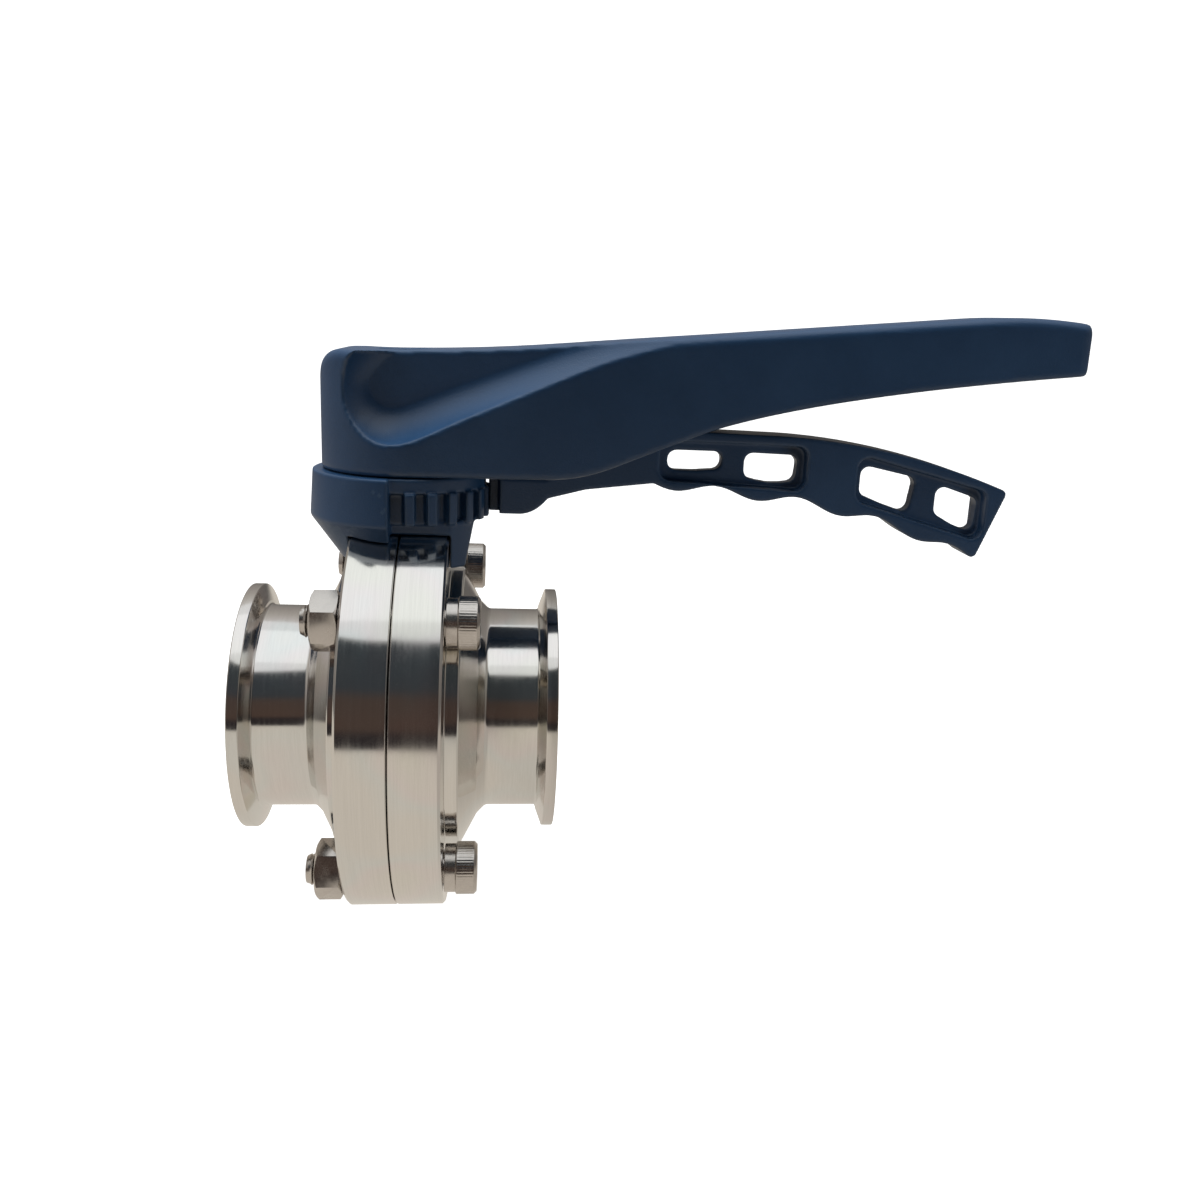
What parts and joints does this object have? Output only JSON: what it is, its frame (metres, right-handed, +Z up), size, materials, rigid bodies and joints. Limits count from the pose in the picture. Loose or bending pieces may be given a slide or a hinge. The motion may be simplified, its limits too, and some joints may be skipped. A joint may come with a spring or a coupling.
{
  "type": "butterfly valve",
  "caption": "Hygienic clamp-end butterfly valve: polished steel split body, disc on a vertical stem, toothed index plate and a plastic lever with a squeeze trigger.",
  "frame": {"origin": "where the pipe axis meets the stem axis, on the split line of the body", "axes": "+X along the pipe, towards the side where the open handle lies; +Z up along the stem; +Y away from the viewer"},
  "size_m": [0.2156, 0.104, 0.1609],
  "materials": {
    "polished_steel": "mirror-polished stainless steel with fine turning marks",
    "fastener_steel": "plain stainless steel, lightly worn",
    "spring_steel": "drawn spring wire",
    "blue_plastic": "dark blue moulded nylon, fine satin grain",
    "seat_silicone": "smooth translucent-white silicone",
    "bearing_plastic": "turned white bearing plastic"
  },
  "bodies": {
    "valve_body": {"body_half_right": "polished_steel", "body_half_left": "polished_steel", "seat_ring": "seat_silicone", "upper_bush": "bearing_plastic", "lower_bush": "bearing_plastic", "index_plate": "blue_plastic", "cap_screw_front_top": "fastener_steel", "nut_front_top": "fastener_steel", "cap_screw_front_bottom": "fastener_steel", "nut_front_bottom": "fastener_steel", "cap_screw_back_top": "fastener_steel", "nut_back_top": "fastener_steel", "cap_screw_back_bottom": "fastener_steel", "nut_back_bottom": "fastener_steel"},
    "handle_and_disc": {"disc_and_stem": "polished_steel", "handle": "blue_plastic", "handle_washer": "fastener_steel", "handle_screw": "fastener_steel", "trigger_pin": "fastener_steel", "trigger_spring": "spring_steel"},
    "trigger": {"trigger": "blue_plastic"}
  },
  "joints": [
    {"name": "handle_turn", "type": "hinge", "parent": "valve_body", "child": "handle_and_disc", "pos_m": [0, 0, 0], "axis": [0, 0, 1], "range_deg": [-90, 90]},
    {"name": "trigger_squeeze", "type": "hinge", "parent": "handle_and_disc", "child": "trigger", "pos_m": [0.046, 0, 0.073], "axis": [0, -1, 0], "range_deg": [0, 10], "stiffness_Nm_per_rad": 0.6, "springref_deg": -20.05, "deforming": ["trigger_spring"]}
  ]
}
